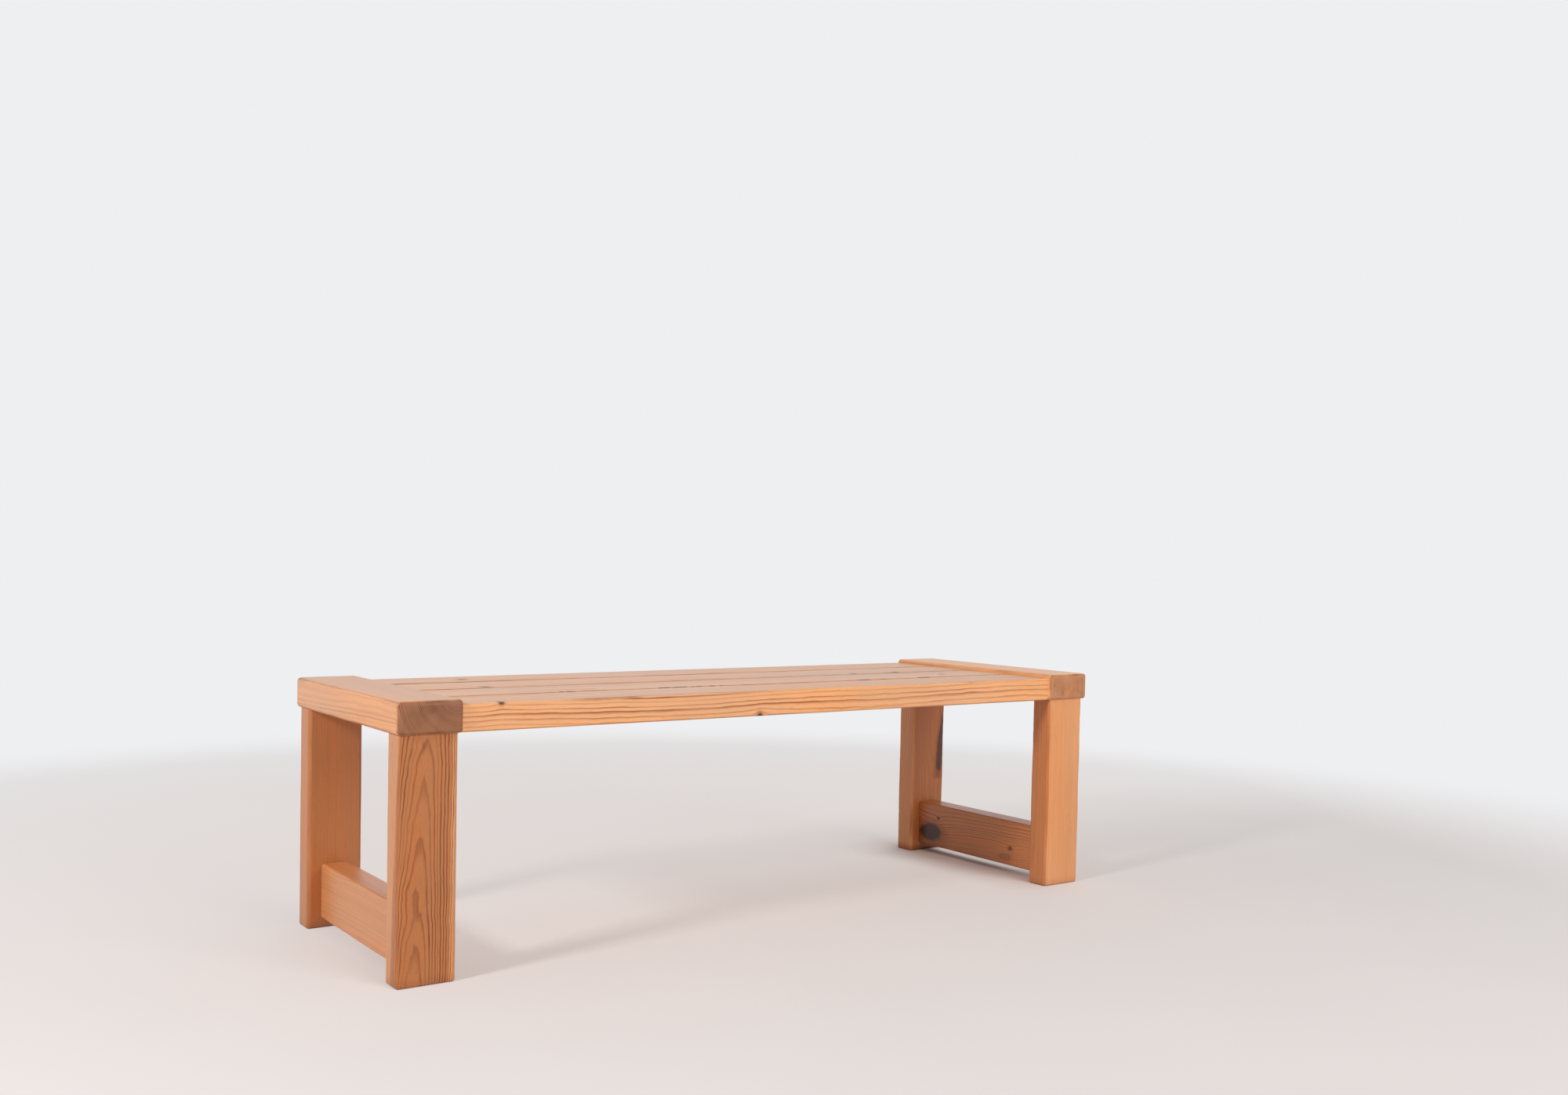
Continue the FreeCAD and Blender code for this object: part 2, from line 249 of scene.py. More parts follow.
class Wiring:
    """Adds nodes to a tree and links them, so that a tree reads like a calculation."""

    def __init__(self, tree):
        self.tree = tree

    def feed(self, socket, value):
        """Link a socket to another one, or set its own value."""
        if isinstance(value, bpy.types.NodeSocket):
            self.tree.links.new(value, socket)
        else:
            socket.default_value = value

    def node(self, kind, inputs=(), out=0, **settings):
        """Add a node, feed its inputs by name or in order, and give one output."""
        item = self.tree.nodes.new(kind)
        for name, value in settings.items():
            setattr(item, name, value)
        pairs = inputs.items() if isinstance(inputs, dict) else enumerate(inputs)
        for key, value in pairs:
            self.feed(item.inputs[key], value)
        return item.outputs[out]

    def group(self, tree, inputs):
        """Add a node group, feed its inputs by name, and give all its outputs."""
        return self.node("ShaderNodeGroup", inputs, node_tree=tree).node.outputs

    def show(self, shader, output="ShaderNodeOutputMaterial"):
        """Link a shader to the tree's output."""
        self.feed(self.tree.nodes.new(output).inputs["Surface"], shader)

    def math(self, operation, *values):
        return self.node("ShaderNodeMath", values, operation=operation)

    def vector(self, operation, *values):
        out = "Value" if operation in {"LENGTH", "DOT_PRODUCT"} else "Vector"
        return self.node("ShaderNodeVectorMath", values, out, operation=operation)

    def scaled(self, vector, factor):
        inputs = {"Vector": vector, "Scale": factor}
        return self.node("ShaderNodeVectorMath", inputs, operation="SCALE")

    def joined(self, x, y, z):
        """Vector from three numbers."""
        return self.node("ShaderNodeCombineXYZ", (x, y, z))

    def parts(self, vector):
        """Three numbers of a vector."""
        return self.node("ShaderNodeSeparateXYZ", (vector,)).node.outputs

    def clamp(self, value):
        return self.node("ShaderNodeClamp", (value, 0.0, 1.0))

    def ramp(self, value, start, end, low=0.0, high=1.0, smooth=True):
        """Go from low to high while a value goes from start to end."""
        style = "SMOOTHSTEP" if smooth else "LINEAR"
        return self.node("ShaderNodeMapRange", (value, start, end, low, high),
                         interpolation_type=style)

    def noise(self, place, detail=2.0, roughness=0.5, out="Fac"):
        inputs = {"Vector": place, "Scale": 1.0, "Detail": detail, "Roughness": roughness}
        return self.node("ShaderNodeTexNoise", inputs, out)

    def grain(self, place, across, along, detail=2.0, roughness=0.5, out="Fac"):
        """Noise in a log, with its own scale across the log and along it."""
        drawn = self.vector("MULTIPLY", place, (across, across, along))
        return self.noise(drawn, detail, roughness, out)

    def swing(self, value, amount):
        """Turn a value that lies round one half into one that swings round zero."""
        return self.math("MULTIPLY", self.math("SUBTRACT", value, 0.5), amount)

    def stray(self, colour, amount):
        """Turn a noise colour into a vector that strays round zero."""
        return self.scaled(self.vector("SUBTRACT", colour, (0.5, 0.5, 0.5)), amount)

    def mix(self, factor, first, second, blend="MIX"):
        """Mix two colours. The node's colour sockets share their names, so they go by place."""
        factor_in, first_in, second_in, colour_out = 0, 6, 7, 2
        inputs = {factor_in: factor, first_in: first, second_in: second}
        return self.node("ShaderNodeMix", inputs, colour_out, data_type="RGBA", blend_type=blend)

    def tint(self, factor, colour, stain):
        """Multiply a colour by a stain, as far as the factor says."""
        return self.mix(factor, colour, self.mix(1.0, colour, stain, "MULTIPLY"))

    def keep(self, geometry, name, value):
        """Store a number on each point of a geometry."""
        inputs = {"Geometry": geometry, "Name": name, "Value": value}
        return self.node("GeometryNodeStoreNamedAttribute", inputs, data_type="FLOAT")

    def kept(self, name):
        """Number that was stored on each point."""
        return self.node("GeometryNodeInputNamedAttribute", {"Name": name}, data_type="FLOAT")


def new_group(name, kind, inputs, outputs):
    """Node group with named sockets, and the wiring to fill it."""
    tree = bpy.data.node_groups.new(name, kind)
    for label, socket_type in inputs:
        tree.interface.new_socket(label, in_out="INPUT", socket_type=socket_type)
    for label, socket_type in outputs:
        tree.interface.new_socket(label, in_out="OUTPUT", socket_type=socket_type)
    source = tree.nodes.new("NodeGroupInput")
    sink = tree.nodes.new("NodeGroupOutput")
    return tree, Wiring(tree), source.outputs, sink.inputs


def new_material(name):
    """Material with an empty tree, and the wiring to fill it."""
    material = bpy.data.materials.new(name)
    material.use_nodes = True
    material.node_tree.nodes.clear()
    return material, Wiring(material.node_tree)


def rgba(colour):
    """Colour with full alpha."""
    return (*colour, 1.0)


def timber_spine(wire, given):
    """Line of points along a timber, close together where an end is rounded. Each point
    keeps how far the rounding draws the section in, and how far a flat end shrinks it."""
    rings_in_end = 4.0
    flat_end_shrink = 0.06
    quarter_turn = math.pi / 2
    length, start, end = given["Length"], given["Start Radius"], given["End Radius"]
    run = wire.math("SUBTRACT", wire.math("SUBTRACT", length, start), end)
    cells = wire.math("CEIL", wire.math("DIVIDE", run, given["Step"]))
    # One ring lies inside each flat end, then the rings of the rounding, then the run.
    line = wire.node("GeometryNodeMeshLine", {"Count": wire.math("ADD", cells, 2 * rings_in_end + 3)})
    index = wire.math("SUBTRACT", wire.node("GeometryNodeInputIndex"), 1.0)
    from_end = wire.math("SUBTRACT", wire.math("ADD", cells, 2 * rings_in_end), index)
    first_turn = wire.ramp(index, 0.0, rings_in_end, 0.0, quarter_turn, smooth=False)
    last_turn = wire.ramp(from_end, 0.0, rings_in_end, 0.0, quarter_turn, smooth=False)
    share = wire.math("DIVIDE", wire.math("SUBTRACT", index, rings_in_end), cells)
    along_run = wire.math("MULTIPLY", wire.clamp(share), run)
    rise = wire.math("SUBTRACT", start, wire.math("MULTIPLY", start, wire.math("COSINE", first_turn)))
    close = wire.math("MULTIPLY", end, wire.math("COSINE", last_turn))
    height = wire.math("ADD", wire.math("ADD", rise, along_run), close)
    height = wire.math("SUBTRACT", height, wire.math("MULTIPLY", length, 0.5))
    first_inset = wire.math("SUBTRACT", start, wire.math("MULTIPLY", start, wire.math("SINE", first_turn)))
    last_inset = wire.math("SUBTRACT", end, wire.math("MULTIPLY", end, wire.math("SINE", last_turn)))
    before_first = wire.math("LESS_THAN", index, -0.5)
    after_last = wire.math("LESS_THAN", from_end, -0.5)
    outer = wire.math("ADD", before_first, after_last)
    shrink = wire.math("SUBTRACT", 1.0, wire.math("MULTIPLY", outer, flat_end_shrink))
    line = wire.keep(line, "inset", wire.math("ADD", first_inset, last_inset))
    line = wire.keep(line, "shrink", shrink)
    place = wire.joined(0.0, 0.0, height)
    line = wire.node("GeometryNodeSetPosition", {"Geometry": line, "Position": place})
    return wire.node("GeometryNodeMeshToCurve", (line,))


def timber_section(wire, given):
    """Rounded rectangle that is run along the spine."""
    section = wire.node("GeometryNodeCurvePrimitiveQuadrilateral",
                        {"Width": given["Width"], "Height": given["Thickness"]})
    section = wire.node("GeometryNodeFilletCurve",
                        {"Curve": section, "Count": 4, "Radius": given["Edge Radius"]}, mode="POLY")
    return wire.node("GeometryNodeSubdivideCurve", {"Curve": section, "Cuts": 1})


def worn_skin(wire, given):
    """Where a point of the skin lies once the ends and the wear draw it in, and how far it
    is on an arris."""
    least_reach = 0.0003
    long_wear_scale, dent_scale = 14.0, 85.0
    radius, seed = given["Edge Radius"], given["Seed"]
    # The section's own normal: away from the nearest point of the core inside the rounding.
    here = wire.node("GeometryNodeInputPosition")
    flat = wire.vector("MULTIPLY", here, (1.0, 1.0, 0.0))
    half = wire.scaled(wire.joined(given["Width"], given["Thickness"], 0.0), 0.5)
    core_half = wire.vector("SUBTRACT", half, wire.joined(radius, radius, 0.0))
    core = wire.vector("MINIMUM", flat, core_half)
    core = wire.vector("MAXIMUM", core, wire.scaled(core_half, -1.0))
    away = wire.vector("NORMALIZE", wire.vector("SUBTRACT", flat, core))
    across = wire.parts(away)
    arris = wire.math("ABSOLUTE", wire.math("MULTIPLY", across[0], across[1]))
    arris = wire.ramp(arris, 0.02, 0.45)
    # Use rubs long stretches of an arris and dents it in places.
    spot = wire.vector("ADD", here, wire.joined(seed, seed, seed))
    slow = wire.ramp(wire.noise(wire.scaled(spot, long_wear_scale)), 0.35, 0.75)
    dent = wire.ramp(wire.noise(wire.scaled(spot, dent_scale)), 0.58, 0.78)
    rub = wire.math("MULTIPLY", arris, wire.math("ADD", slow, dent))
    lost = wire.math("MULTIPLY", given["Wear"], rub)
    left = wire.math("SUBTRACT", 1.0, wire.math("DIVIDE", lost, radius))
    reach = wire.math("SUBTRACT", radius, wire.kept("inset"))
    reach = wire.math("MULTIPLY", wire.math("MAXIMUM", reach, least_reach), left)
    skin = wire.vector("ADD", core, wire.scaled(away, reach))
    skin = wire.scaled(skin, wire.kept("shrink"))
    level = wire.vector("MULTIPLY", here, (0.0, 0.0, 1.0))
    return wire.vector("ADD", skin, level), arris


def timber_tree():
    """Timber by rule: a rounded section run along its length, with rounded or sawn ends
    and edges that wear has softened unevenly."""
    name = "Timber"
    if name in bpy.data.node_groups:
        return bpy.data.node_groups[name]
    sizes = ("Length", "Width", "Thickness", "Edge Radius", "Start Radius", "End Radius",
             "Step", "Wear", "Seed")
    inputs = [(label, "NodeSocketFloat") for label in sizes]
    inputs += [("Place", "NodeSocketVector"), ("Turn", "NodeSocketVector"),
               ("Material", "NodeSocketMaterial")]
    tree, wire, given, result = new_group(
        name, "GeometryNodeTree", inputs, [("Geometry", "NodeSocketGeometry")])
    stick = wire.node("GeometryNodeCurveToMesh", {
        "Curve": timber_spine(wire, given), "Profile Curve": timber_section(wire, given),
        "Fill Caps": True})
    skin, arris = worn_skin(wire, given)
    stick = wire.keep(stick, "arris", arris)
    stick = wire.node("GeometryNodeSetPosition", {"Geometry": stick, "Position": skin})
    turn = wire.node("FunctionNodeEulerToRotation", (given["Turn"],))
    stick = wire.node("GeometryNodeTransform",
                      {"Geometry": stick, "Translation": given["Place"], "Rotation": turn})
    stick = wire.node("GeometryNodeRealizeInstances", (stick,))
    stick = wire.node("GeometryNodeSetMaterial", {"Geometry": stick, "Material": given["Material"]})
    wire.feed(result["Geometry"], stick)
    return tree


def growth_group():
    """Distance from the heart of the log in millimetres, with the wander of a grown tree."""
    name = "Log Growth"
    if name in bpy.data.node_groups:
        return bpy.data.node_groups[name]
    tree, wire, given, result = new_group(
        name, "ShaderNodeTree",
        [("Place", "NodeSocketVector"), ("Along Rings", "NodeSocketVector"),
         ("Wander", "NodeSocketFloat"), ("Wave", "NodeSocketFloat"), ("Seed", "NodeSocketFloat")],
        [("Place", "NodeSocketVector"), ("Trunk", "NodeSocketFloat")])
    along_rings = given["Along Rings"]
    shift = wire.scaled((37.1, 17.3, 91.7), given["Seed"])
    spot = wire.vector("ADD", given["Place"], shift)
    slow = wire.grain(spot, across=0.006, along=0.0018, detail=1.0, out="Color")
    slow = wire.stray(slow, wire.math("MULTIPLY", given["Wander"], 2.0))
    # The wave runs mostly along the rings, so that lines sway without breaking into islands.
    sway = wire.grain(spot, across=0.014, along=0.022, detail=2.5, roughness=0.6)
    swell = wire.grain(spot, across=0.020, along=0.012, detail=1.0)
    across = wire.vector("CROSS_PRODUCT", along_rings, (0.0, 0.0, 1.0))
    wave = wire.vector("ADD", wire.scaled(along_rings, wire.swing(sway, 2.0)),
                       wire.scaled(across, wire.swing(swell, 0.9)))
    near = wire.vector("ADD", given["Place"], wire.scaled(wave, given["Wave"]))
    bent = wire.vector("MULTIPLY", wire.vector("ADD", near, slow), (1.0, 1.0, 0.0))
    wire.feed(result["Place"], near)
    wire.feed(result["Trunk"], wire.vector("LENGTH", bent))
    return tree


def branch_group():
    """One branch in the trunk. The rings swell round it and flow into it. Across is the
    distance from the branch's middle, in shares of its radius."""
    name = "Branch Growth"
    if name in bpy.data.node_groups:
        return bpy.data.node_groups[name]
    out_of_reach = 1000.0
    lumps_in_radius, lump_height = 1.3, 0.45
    swell_height, swell_fall = 0.9, 0.42
    flow_blend = 30.0
    results = ("Years", "Across", "Dark")
    numbers = ("Radius", "Depth", "Spread", "Shade", "Trunk") + results
    inputs = [(label, "NodeSocketVector") for label in ("Place", "Root", "Way")]
    inputs += [(label, "NodeSocketFloat") for label in numbers]
    tree, wire, given, result = new_group(
        name, "ShaderNodeTree", inputs, [(label, "NodeSocketFloat") for label in results])
    radius, way = given["Radius"], given["Way"]
    lump_scale = wire.math("DIVIDE", lumps_in_radius, radius)
    lump = wire.noise(wire.scaled(given["Place"], lump_scale), out="Color")
    lump = wire.stray(lump, wire.math("MULTIPLY", radius, lump_height))
    leg = wire.vector("SUBTRACT", wire.vector("ADD", given["Place"], lump), given["Root"])
    reach = wire.vector("DOT_PRODUCT", leg, way)
    side = wire.vector("SUBTRACT", leg, wire.scaled(way, reach))
    own = wire.math("DIVIDE", wire.vector("LENGTH", side), given["Spread"])
    before_root = wire.math("LESS_THAN", reach, 0.0)
    own = wire.math("ADD", own, wire.math("MULTIPLY", before_root, out_of_reach))
    across = wire.math("DIVIDE", own, given["Trunk"])
    fall = wire.math("POWER", wire.math("MULTIPLY", across, swell_fall), 2.0)
    swell = wire.math("MULTIPLY", radius, swell_height)
    swell = wire.math("DIVIDE", swell, wire.math("ADD", fall, 1.0))
    swell = wire.math("MULTIPLY", swell, wire.ramp(reach, 0.0, given["Depth"]))
    years = wire.math("SUBTRACT", given["Years"], swell)
    wire.feed(result["Years"], wire.math("SMOOTH_MIN", years, own, flow_blend))
    wire.feed(result["Across"], wire.math("MINIMUM", given["Across"], across))
    shade = wire.math("MULTIPLY", wire.ramp(across, 3.2, 2.0), given["Shade"])
    wire.feed(result["Dark"], wire.math("MAXIMUM", given["Dark"], shade))
    return tree


def year_lines(wire, given, spot):
    """Where a point lies in its year, and how strongly the dark line of that year shows."""
    growth, seed = given["Growth"], given["Seed"]
    # The rings have uneven widths, and each line has its own strength.
    years = wire.math("ADD", wire.math("MULTIPLY", growth, 0.05), seed)
    uneven = wire.node("ShaderNodeTexNoise", {"W": years, "Scale": 1.0, "Detail": 2.0},
                       noise_dimensions="1D")
    ring = wire.math("DIVIDE", growth, given["Ring Width"])
    ring = wire.math("ADD", ring, wire.swing(uneven, 1.8))
    ripple = wire.grain(spot, across=0.30, along=0.012, detail=3.0)
    ring = wire.math("ADD", ring, wire.swing(ripple, 0.40))
    phase = wire.math("FRACT", ring)
    darkest = 0.90
    late = wire.math("MULTIPLY", wire.ramp(phase, given["Late Start"], darkest),
                     wire.ramp(phase, 1.0, darkest))
    number = wire.math("ADD", wire.math("FLOOR", ring), wire.math("MULTIPLY", seed, 31.0))
    strength = wire.node("ShaderNodeTexWhiteNoise", {"W": number}, noise_dimensions="1D")
    late = wire.math("MULTIPLY", late, wire.ramp(strength, 0.0, 1.0, 0.30, 1.0, smooth=False))
    # A line comes and goes along the grain.
    fade = wire.grain(spot, across=0.045, along=0.006)
    late = wire.math("MULTIPLY", late, wire.ramp(fade, 0.32, 0.66, 0.60, 1.0))
    # It pales where it spreads out on a flat-sawn face and where lines crowd on a quartered one.
    spread = wire.ramp(given["Flat Sawn"], 0.70, 1.0, 1.0, 0.48)
    crowd = wire.ramp(given["Flat Sawn"], 0.15, 0.75, 0.5, 1.0)
    crowd = wire.math("MAXIMUM", crowd, wire.math("MULTIPLY", given["End Grain"], 1.4))
    late = wire.math("MULTIPLY", late, given["Lines"])
    return phase, wire.math("MULTIPLY", late, wire.math("MULTIPLY", spread, crowd))


def sound_wood(wire, given, spot, late, fibre, cloud, canal):
    """Colour of clear wood, from its year lines, heartwood, fibres and end grain."""
    streak = wire.grain(spot, across=0.09, along=0.003, detail=3.0)
    colour = wire.mix(late, given["Early Wood"], given["Late Wood"])
    inside_sap = wire.math("SUBTRACT", given["Sap"], given["Trunk"])
    inner = wire.ramp(inside_sap, -4.0, 4.0, 0.0, 0.9)
    heart = wire.math("MAXIMUM", inner, given["Red"])
    heart = wire.clamp(wire.math("ADD", heart, wire.swing(streak, 0.35)))
    colour = wire.tint(heart, colour, given["Heart Tint"])
    light = wire.math("ADD", wire.swing(fibre, 0.36), wire.swing(streak, 0.44))
    light = wire.math("ADD", light, wire.swing(cloud, 0.24))
    light = wire.math("SUBTRACT", light, wire.math("MULTIPLY", canal, 0.22))
    light = wire.math("MULTIPLY", wire.math("ADD", light, 1.0), given["Tone"])
    colour = wire.scaled(colour, light)
    cooler, warmer = (0.97, 1.02, 1.12, 1.0), (1.03, 0.98, 0.88, 1.0)
    drift = wire.grain(spot, across=0.011, along=0.003, detail=1.0)
    drift = wire.mix(wire.ramp(drift, 0.3, 0.7), cooler, warmer)
    colour = wire.mix(1.0, colour, drift, "MULTIPLY")
    # End grain takes its own tint, which holds a painted sheen as well.
    return wire.tint(given["End Grain"], colour, given["End Tint And Sheen"])


def soiled_and_shaded_wood(wire, given, spot, colour, cloud):
    """Colour with dirt on the edges, painted shade in the gaps between slats, darkening towards
    the foot of a leg, and dark marks on a front edge.
    """
    dirt = wire.grain(spot, across=0.03, along=0.008, detail=3.0)
    dirt = wire.math("MULTIPLY", given["Arris"], wire.ramp(dirt, 0.38, 0.68, 0.0, given["Soil"]))
    colour = wire.tint(dirt, colour, given["Heart Tint"])
    # Painted shade on slat sides across a gap, and darkening towards the foot of a leg.
    gap_shade_and_foot_darkening = wire.math("MULTIPLY", given["Gap Shade And Foot Darkening"], wire.ramp(cloud, 0.2, 0.8, 0.75, 1.0))
    colour = wire.tint(gap_shade_and_foot_darkening, colour, given["Heart Tint"])
    return wire.mix(wire.math("MULTIPLY", given["EdgeDashes"], 0.72), colour, given["Knot Wood"])


def knotted_wood(wire, given, colour, phase, fibre):
    """Colour with the knots: resin round each, dark wood inside and a darker rim of bark."""
    dark = given["Dark"]
    across = wire.math("ADD", given["Across"], wire.swing(fibre, 0.25))
    halo = wire.math("MULTIPLY", wire.ramp(across, 2.5, 0.9, 0.0, 0.75), dark)
    colour = wire.tint(halo, colour, given["Heart Tint"])
    inside = wire.scaled(given["Knot Wood"], wire.ramp(fibre, 0.2, 0.8, 0.5, 1.7, smooth=False))
    inside = wire.mix(wire.ramp(phase, 0.2, 0.9, 0.02, 0.14), inside, colour)
    core = wire.math("MULTIPLY", wire.ramp(across, 1.08, 0.84), dark)
    colour = wire.mix(core, colour, inside)
    rim = wire.math("MULTIPLY", wire.ramp(across, 1.30, 1.02), wire.ramp(across, 0.72, 0.95))
    rim = wire.math("MULTIPLY", rim, wire.math("MULTIPLY", dark, 0.6))
    return wire.mix(rim, colour, given["Knot Wood"])


def pine_group():
    """Colour, roughness and relief of finished pine from the years that the wood grew in."""
    name = "Pine Surface"
    if name in bpy.data.node_groups:
        return bpy.data.node_groups[name]
    numbers = ("Growth", "Trunk", "Across", "Dark", "Flat Sawn", "End Grain", "Arris", "Soil",
               "Gap Shade And Foot Darkening", "EdgeDashes", "Seed", "Ring Width", "Lines", "Late Start", "Tone", "Red", "Sap")
    colours = ("Early Wood", "Late Wood", "Heart Tint", "End Tint And Sheen", "Knot Wood")
    inputs = [("Place", "NodeSocketVector")]
    inputs += [(label, "NodeSocketFloat") for label in numbers]
    inputs += [(label, "NodeSocketColor") for label in colours]
    outputs = [("Colour", "NodeSocketColor"), ("Roughness", "NodeSocketFloat"),
               ("Relief", "NodeSocketFloat")]
    tree, wire, given, result = new_group(name, "ShaderNodeTree", inputs, outputs)
    satin_roughness = 0.32
    shift = wire.scaled((53.7, 29.1, 71.3), given["Seed"])
    spot = wire.vector("ADD", given["Place"], shift)
    phase, late = year_lines(wire, given, spot)
    fibre = wire.grain(spot, across=1.2, along=0.018, detail=4.0, roughness=0.65)
    cloud = wire.grain(spot, across=0.012, along=0.004)
    canal = wire.grain(spot, across=1.7, along=0.08, detail=1.0)
    canal = wire.ramp(canal, 0.64, 0.76)
    colour = sound_wood(wire, given, spot, late, fibre, cloud, canal)
    colour = soiled_and_shaded_wood(wire, given, spot, colour, cloud)
    colour = knotted_wood(wire, given, colour, phase, fibre)
    rough = wire.math("ADD", satin_roughness, wire.swing(fibre, 0.16))
    rough = wire.math("ADD", rough, wire.swing(cloud, 0.10))
    rough = wire.math("ADD", rough, wire.math("MULTIPLY", given["End Grain"], 0.18))
    relief = wire.math("ADD", wire.math("MULTIPLY", late, 0.2), wire.swing(fibre, 0.7))
    relief = wire.math("SUBTRACT", relief, wire.math("MULTIPLY", canal, 0.5))
    wire.feed(result["Colour"], colour)
    wire.feed(result["Roughness"], rough)
    wire.feed(result["Relief"], relief)
    return tree


def log_frame(board, run, middle):
    """Turn and shift that take bench metres to log millimetres, heart at the origin."""
    lean = Matrix.Rotation(math.radians(board.lean[0]), 3, "X")
    lean = lean @ Matrix.Rotation(math.radians(board.lean[1]), 3, "Y")
    turn = lean @ RUNS[run]
    heart = Vector((*board.heart, 0.0))
    return turn, -heart - turn @ (middle / MILLIMETRE)


def edge_dash_marks(wire, place, front, top, dashes):
    """Strength of the dark marks along the upper front edge of a slat."""
    fade_out, marks_per_metre = 0.008, 160.0
    spot = wire.parts(place)
    window = wire.math("MULTIPLY", wire.ramp(spot[0], dashes.start - fade_out, dashes.start),
                       wire.ramp(spot[0], dashes.end + fade_out, dashes.end))
    back = wire.ramp(wire.math("SUBTRACT", spot[1], front), 0.009, 0.0)
    down = wire.ramp(wire.math("SUBTRACT", top, spot[2]), 0.0055, 0.0)
    near = wire.math("MULTIPLY", back, down)
    pattern = (1.0 / dashes.pitch, marks_per_metre, marks_per_metre)
    dots = wire.noise(wire.vector("MULTIPLY", place, pattern))
    level = wire.math("ADD", dots, wire.math("MULTIPLY", near, 0.30))
    marks = wire.math("MULTIPLY", wire.ramp(level, 0.70, 0.78), wire.ramp(near, 0.02, 0.20))
    return wire.math("MULTIPLY", marks, window)


def log_wood(wire, board, turn, shift, place, seed):
    """Place in the log, and how the wood grew there round the branches."""
    far_from_knots = 100.0
    middle_way = Vector((*board.heart, 0.0)).normalized()
    log = wire.group(growth_group(), {
        "Place": place, "Along Rings": middle_way.cross(Vector((0.0, 0.0, 1.0))),
        "Wander": board.wander, "Wave": board.wave, "Seed": seed})
    near, trunk = log["Place"], log["Trunk"]
    flow = {"Years": trunk, "Across": far_from_knots, "Dark": 0.0}
    for branch in board.knots:
        out = turn @ (Vector(branch.at) / MILLIMETRE) + shift
        way = (turn @ Vector(branch.way)).normalized()
        limb = wire.group(branch_group(), {
            "Place": near, "Root": out - way * branch.depth, "Way": way, "Radius": branch.radius,
            "Depth": branch.depth, "Spread": branch.radius / out.xy.length, "Shade": branch.dark,
            "Trunk": trunk, **flow})
        flow = {label: limb[label] for label in flow}
    return near, {
        "Growth": flow["Years"], "Trunk": trunk, "Across": flow["Across"], "Dark": flow["Dark"],
    }


def face_marks(wire, board, run, turn, coordinates, near):
    """What a face shows by the way it looks: rings cut flat, end grain, edges, painted shade
    in the gaps between slats and darkening towards the feet.
    """
    normal = wire.node("ShaderNodeMapping", {
        "Vector": coordinates["Normal"], "Rotation": turn.to_euler()}, vector_type="VECTOR")
    outward = wire.vector("NORMALIZE", wire.vector("MULTIPLY", near, (1.0, 1.0, 0.0)))
    flat_sawn = wire.math("ABSOLUTE", wire.vector("DOT_PRODUCT", normal, outward))
    long_way = RUNS[run].transposed() @ Vector((0.0, 0.0, 1.0))
    facing = wire.math("ABSOLUTE", wire.vector("DOT_PRODUCT", coordinates["Normal"], long_way))
    arris = wire.node("ShaderNodeAttribute", out="Fac", attribute_name="arris")
    rim = wire.math("MULTIPLY", wire.ramp(facing, 0.10, 0.45), wire.ramp(facing, 0.98, 0.85))
    # The sides that face each other across a gap between slats get painted shade, and a leg darkens
    # towards its foot.
    gap_shade_and_foot_darkening = 0.0
    if run == "X":
        sideways = wire.math("ABSOLUTE", wire.parts(coordinates["Normal"])[1])
        from_middle = wire.math("ABSOLUTE", wire.parts(coordinates["Object"])[1])
        between_slats = wire.math("LESS_THAN", from_middle, 0.2)
        gap_shade_and_foot_darkening = wire.math("MULTIPLY", wire.ramp(sideways, 0.35, 0.80), between_slats)
    elif run == "Z":
        height = wire.parts(coordinates["Object"])[2]
        gap_shade_and_foot_darkening = wire.ramp(height, 0.018, 0.002, 0.0, board.soil)
    return {
        "Flat Sawn": flat_sawn, "End Grain": wire.ramp(facing, 0.25, 0.80, 0.0, board.end),
        "Arris": wire.math("MAXIMUM", arris, rim), "Gap Shade And Foot Darkening": gap_shade_and_foot_darkening,
    }


def pine_material(node, run, seed):
    """Pine of one timber, cut from its own place in its own log."""
    finish = bpy.context.scene.pine_finish
    low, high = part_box(node)
    board = BOARDS[node]
    turn, shift = log_frame(board, run, (low + high) / 2)
    material, wire = new_material(f"Pine {node}")
    coordinates = wire.tree.nodes.new("ShaderNodeTexCoord").outputs
    place = wire.node("ShaderNodeMapping", {
        "Vector": coordinates["Object"], "Location": shift,
        "Rotation": turn.to_euler(), "Scale": (1.0 / MILLIMETRE,) * 3})
    near, growth = log_wood(wire, board, turn, shift, place, seed)
    marks = face_marks(wire, board, run, turn, coordinates, near)
    dashed = 0.0
    for dashes in board.dash_runs:
        dots = edge_dash_marks(wire, coordinates["Object"], low.y, high.z, dashes)
        dashed = wire.math("MAXIMUM", dashed, dots)
    surface = wire.group(pine_group(), {
        "Place": near, **growth, **marks, "Soil": board.soil, "EdgeDashes": dashed, "Seed": seed,
        "Ring Width": board.ring, "Lines": board.lines, "Late Start": board.late,
        "Tone": board.tone, "Red": board.red, "Sap": board.sap,
        "Early Wood": rgba(finish.early_wood), "Late Wood": rgba(finish.late_wood),
        "Heart Tint": rgba(finish.heart_tint), "End Tint And Sheen": rgba(finish.end_tint_and_sheen),
        "Knot Wood": rgba(finish.knot_wood)})
    bump = wire.node("ShaderNodeBump", {
        "Strength": 0.35, "Distance": 0.0005, "Height": surface["Relief"]})
    wire.show(wire.node("ShaderNodeBsdfPrincipled", {
        "Base Color": surface["Colour"], "Roughness": surface["Roughness"],
        "Specular IOR Level": 0.5, "Normal": bump}))
    return material


